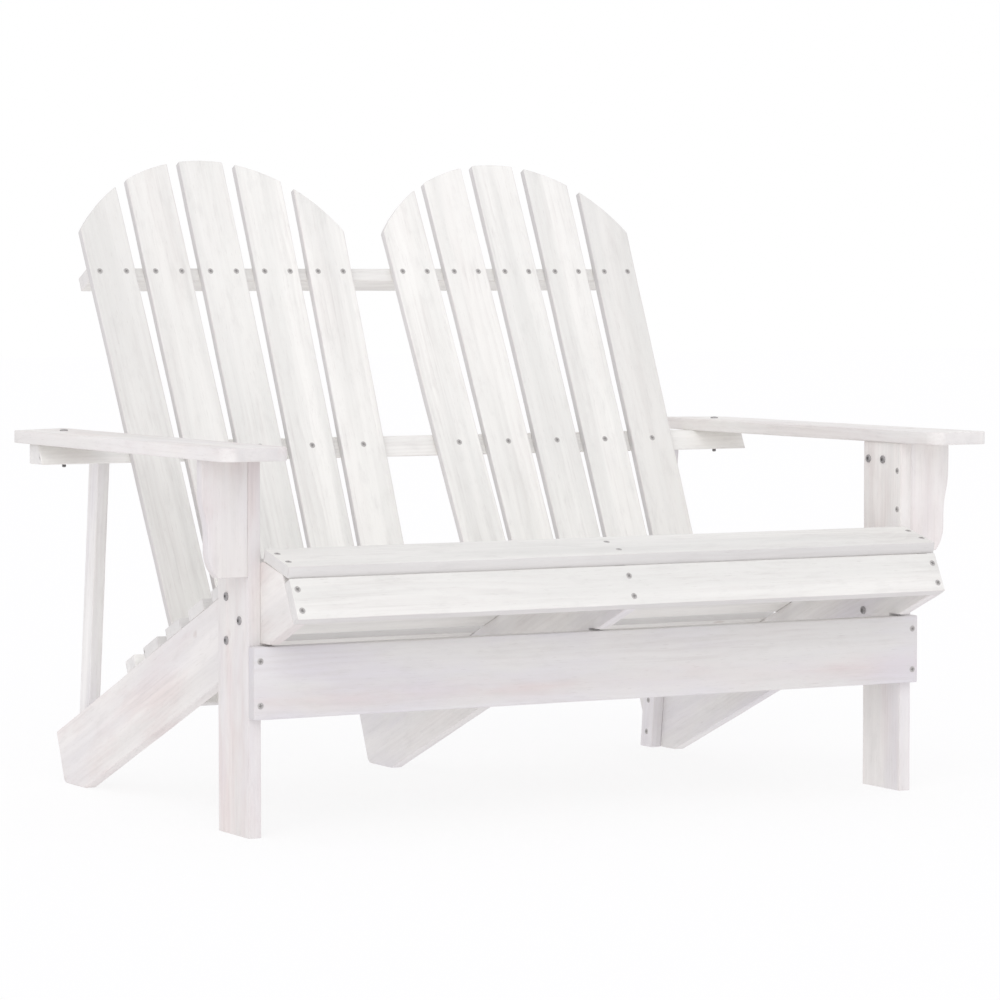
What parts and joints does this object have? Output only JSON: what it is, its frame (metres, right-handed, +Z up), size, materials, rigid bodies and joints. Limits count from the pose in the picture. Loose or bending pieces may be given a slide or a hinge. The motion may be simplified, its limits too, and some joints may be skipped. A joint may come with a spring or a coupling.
{
  "type": "adirondack loveseat",
  "caption": "Adirondack loveseat in whitewashed wood: side-by-side reclined fan backs of upright slats over a sloping slatted seat, with wide flat arms and a plank apron.",
  "frame": {"origin": "on the floor under the middle of the loveseat: midway between the arms, and midway from the front slat to the rear of the backs", "axes": "+X to the right seen from the front, +Y to the back, +Z up"},
  "size_m": [1.2, 0.8712, 0.9124],
  "materials": {
    "whitewashed_wood": "thin matt white wash over softwood, grain showing",
    "screw_steel": "grey zinc coated steel, satin",
    "bolt_steel": "dark grey zinc coated steel, satin"
  },
  "bodies": {
    "root": {"apron_screws": "screw_steel", "arm_bolt_nuts": "bolt_steel", "arm_bolts": "bolt_steel", "arm_bracket_left": "whitewashed_wood", "arm_bracket_right": "whitewashed_wood", "arm_cleat_left": "whitewashed_wood", "arm_cleat_right": "whitewashed_wood", "arm_cleat_screws": "screw_steel", "arm_left": "whitewashed_wood", "arm_rail": "whitewashed_wood", "arm_right": "whitewashed_wood", "back_arm_rail_screws": "screw_steel", "back_foot_rail": "whitewashed_wood", "back_foot_screws": "screw_steel", "back_slat_left_1": "whitewashed_wood", "back_slat_left_2": "whitewashed_wood", "back_slat_left_3": "whitewashed_wood", "back_slat_left_4": "whitewashed_wood", "back_slat_left_5": "whitewashed_wood", "back_slat_right_1": "whitewashed_wood", "back_slat_right_2": "whitewashed_wood", "back_slat_right_3": "whitewashed_wood", "back_slat_right_4": "whitewashed_wood", "back_slat_right_5": "whitewashed_wood", "back_upper_rail": "whitewashed_wood", "back_upper_screws": "screw_steel", "bracket_screws": "screw_steel", "cleat_bolt_nuts": "bolt_steel", "cleat_bolts": "bolt_steel", "foot_rail_screws": "screw_steel", "front_apron": "whitewashed_wood", "front_leg_left": "whitewashed_wood", "front_leg_right": "whitewashed_wood", "leg_bolt_nuts": "bolt_steel", "leg_bolts": "bolt_steel", "post_rail_screws": "screw_steel", "post_screws": "screw_steel", "rear_post_left": "whitewashed_wood", "rear_post_right": "whitewashed_wood", "runner_left": "whitewashed_wood", "runner_middle": "whitewashed_wood", "runner_right": "whitewashed_wood", "seat_front_slat": "whitewashed_wood", "seat_nose_slat": "whitewashed_wood", "seat_screws": "screw_steel", "seat_slat_1": "whitewashed_wood", "seat_slat_2": "whitewashed_wood", "seat_slat_3": "whitewashed_wood", "seat_slat_4": "whitewashed_wood", "seat_slat_5": "whitewashed_wood"}
  },
  "joints": []
}
